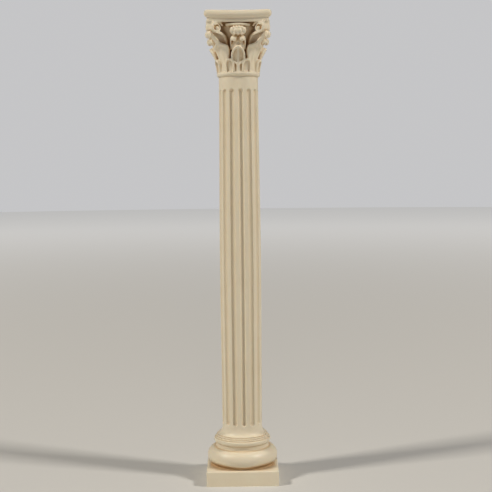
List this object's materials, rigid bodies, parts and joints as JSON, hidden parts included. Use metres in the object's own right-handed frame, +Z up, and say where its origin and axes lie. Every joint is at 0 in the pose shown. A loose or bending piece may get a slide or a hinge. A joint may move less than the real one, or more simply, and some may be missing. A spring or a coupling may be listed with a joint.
{
  "type": "resin column",
  "caption": "Small cast resin column with a square plinth, a fluted shaft and a leafy capital, for display or as a stand or prop.",
  "frame": {"origin": "centre of the plinth's underside, on the ground", "axes": "+Z up along the shaft, -Y out of the front face of the plinth, +X to the right seen from the front"},
  "size_m": [0.037, 0.037, 0.241],
  "materials": {
    "cast_resin": "cream cast resin with a satin skin"
  },
  "bodies": {
    "root": {"column": "cast_resin"}
  },
  "joints": []
}
